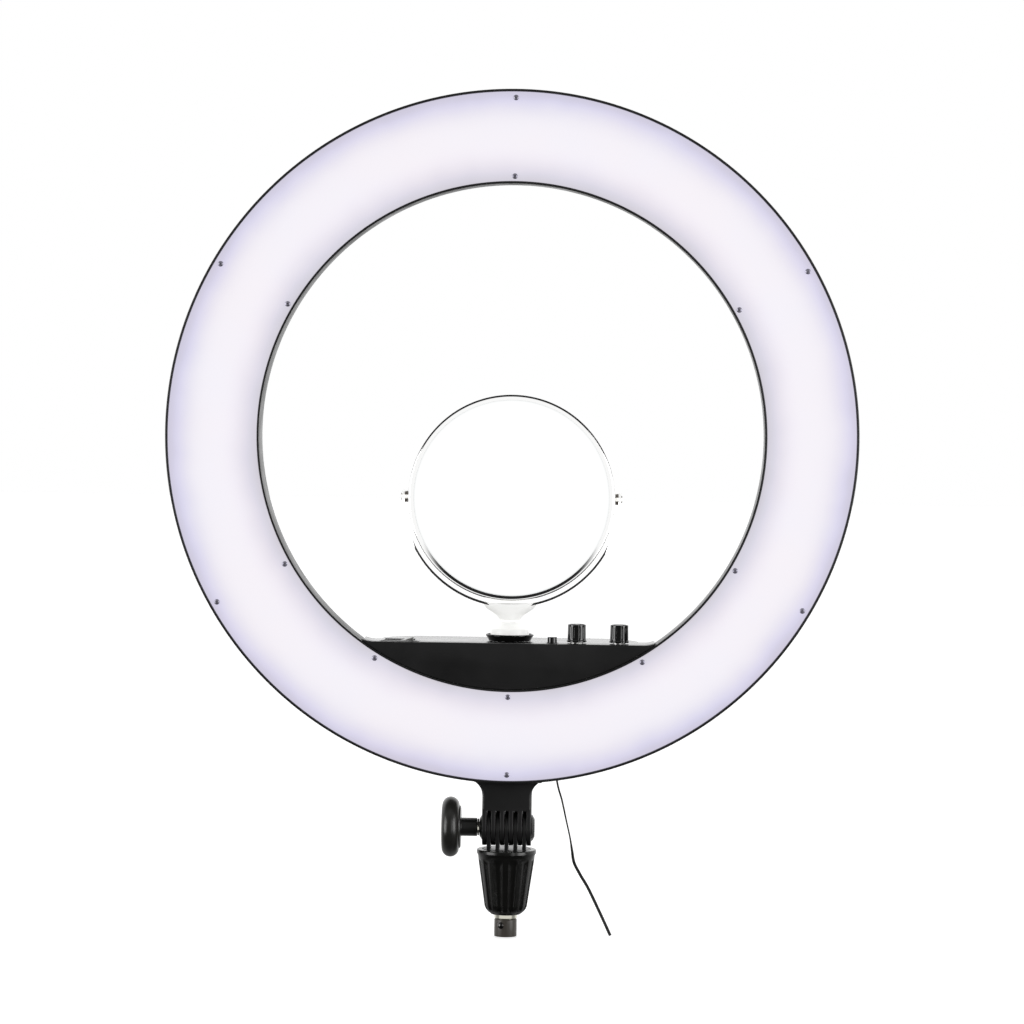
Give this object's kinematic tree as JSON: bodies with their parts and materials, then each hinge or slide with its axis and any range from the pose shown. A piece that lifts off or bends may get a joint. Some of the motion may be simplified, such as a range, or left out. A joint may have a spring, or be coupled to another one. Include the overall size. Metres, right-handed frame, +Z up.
{
  "type": "ring light",
  "caption": "Ring light head with an opal front, a control box and a turning mirror inside the ring, on a tilting fin bracket and a collet collar that grips a stand spigot.",
  "frame": {"origin": "centre of the flat lower end of the stand spigot", "axes": "+Z up along the stand, the light faces -Y, +X is to the right seen from the front"},
  "size_m": [0.48, 0.0664, 0.589],
  "materials": {
    "black_plastic": "satin moulded black ABS",
    "grip_plastic": "smooth moulded black nylon",
    "gloss_plastic": "glossy black",
    "opal_acrylic": "opal diffuser, lit from behind",
    "screw_steel": "zinc-plated pan head",
    "steel": "plated steel",
    "nickel": "nickel-plated",
    "chrome": "polished",
    "mirror_glass": "silvered glass",
    "tube_paint": "satin black paint",
    "led_board": "white solder mask",
    "circuit_board": "green solder mask",
    "cable_rubber": "PVC sheath"
  },
  "bodies": {
    "stand": {"stand_tube": "tube_paint", "stand_spigot": "nickel", "tube_rivet": "steel"},
    "swivel": {"tilt_base": "black_plastic"},
    "collar": {"grip_collar": "grip_plastic"},
    "tension_knob": {"tension_handwheel": "grip_plastic", "hinge_bolt": "steel", "tension_washer": "steel"},
    "dimmer": {"dimmer_shaft": "steel", "dimmer_knob": "gloss_plastic"},
    "colour": {"colour_shaft": "steel", "colour_knob": "gloss_plastic"},
    "button": {"mode_button": "gloss_plastic"},
    "rocker": {"power_rocker": "gloss_plastic"},
    "mirror_foot": {"mirror_stem": "chrome"},
    "yoke": {"mirror_yoke": "chrome", "pivot_pin_left": "chrome", "pivot_pin_right": "chrome"},
    "mirror": {"mirror_frame": "chrome", "mirror_glass_front": "mirror_glass", "mirror_glass_back": "mirror_glass"},
    "head": {"hinge_cap": "black_plastic", "mount_bracket": "black_plastic", "bracket_screw_1": "screw_steel", "bracket_screw_2": "screw_steel", "bracket_screw_3": "screw_steel", "bracket_screw_4": "screw_steel", "ring_housing": "black_plastic", "front_diffuser": "opal_acrylic", "outer_screw_1": "screw_steel", "outer_screw_2": "screw_steel", "outer_screw_3": "screw_steel", "outer_screw_4": "screw_steel", "outer_screw_5": "screw_steel", "outer_screw_6": "screw_steel", "inner_screw_1": "screw_steel", "inner_screw_2": "screw_steel", "inner_screw_3": "screw_steel", "inner_screw_4": "screw_steel", "inner_screw_5": "screw_steel", "inner_screw_6": "screw_steel", "inner_screw_7": "screw_steel", "inner_screw_8": "screw_steel", "led_board_1": "led_board", "led_board_2": "led_board", "led_board_3": "led_board", "led_board_4": "led_board", "control_fascia": "black_plastic", "control_box": "black_plastic", "driver_board": "circuit_board", "dimmer_pot": "steel", "colour_pot": "steel", "button_switch": "circuit_board", "power_switch": "gloss_plastic", "power_socket": "gloss_plastic", "accessory_seat": "black_plastic", "accessory_stud": "steel", "cable_plug": "cable_rubber", "power_cable": "cable_rubber"}
  },
  "joints": [
    {"name": "pan", "type": "hinge", "parent": "stand", "child": "swivel", "pos_m": [0, 0, 0.03], "axis": [0, 0, 1], "continuous": true},
    {"name": "tilt", "type": "hinge", "parent": "swivel", "child": "head", "pos_m": [0, 0, 0.076], "axis": [1, 0, 0], "range_deg": [-90, 90]},
    {"name": "collar_turn", "type": "hinge", "parent": "swivel", "child": "collar", "pos_m": [0, 0, 0.04], "axis": [0, 0, -1], "range_deg": [0, 270]},
    {"name": "knob_turn", "type": "hinge", "parent": "head", "child": "tension_knob", "pos_m": [0, 0, 0.076], "axis": [-1, 0, 0], "range_deg": [0, 360]},
    {"name": "dimmer_turn", "type": "hinge", "parent": "head", "child": "dimmer", "pos_m": [0.047, -0.008, 0.2063], "axis": [0, 0, -1], "range_deg": [-140, 140]},
    {"name": "colour_turn", "type": "hinge", "parent": "head", "child": "colour", "pos_m": [0.0765, -0.008, 0.2063], "axis": [0, 0, -1], "range_deg": [-140, 140]},
    {"name": "button_press", "type": "slide", "parent": "head", "child": "button", "axis": [0, 0, -1], "range_m": [0, 0.0015], "stiffness_N_per_m": 400, "springref_m": -0.002},
    {"name": "rocker_tip", "type": "hinge", "parent": "head", "child": "rocker", "pos_m": [-0.076, -0.007, 0.2063], "axis": [0, 1, 0], "range_deg": [0, 16]},
    {"name": "mirror_lift", "type": "slide", "parent": "head", "child": "mirror_foot", "axis": [0, 0, 1], "range_m": [0, 0.04]},
    {"name": "mirror_swivel", "type": "hinge", "parent": "mirror_foot", "child": "yoke", "pos_m": [0, 0.007, 0.2212], "axis": [0, 0, 1], "continuous": true},
    {"name": "mirror_spin", "type": "hinge", "parent": "yoke", "child": "mirror", "pos_m": [0, 0.007, 0.3062], "axis": [1, 0, 0], "continuous": true}
  ]
}
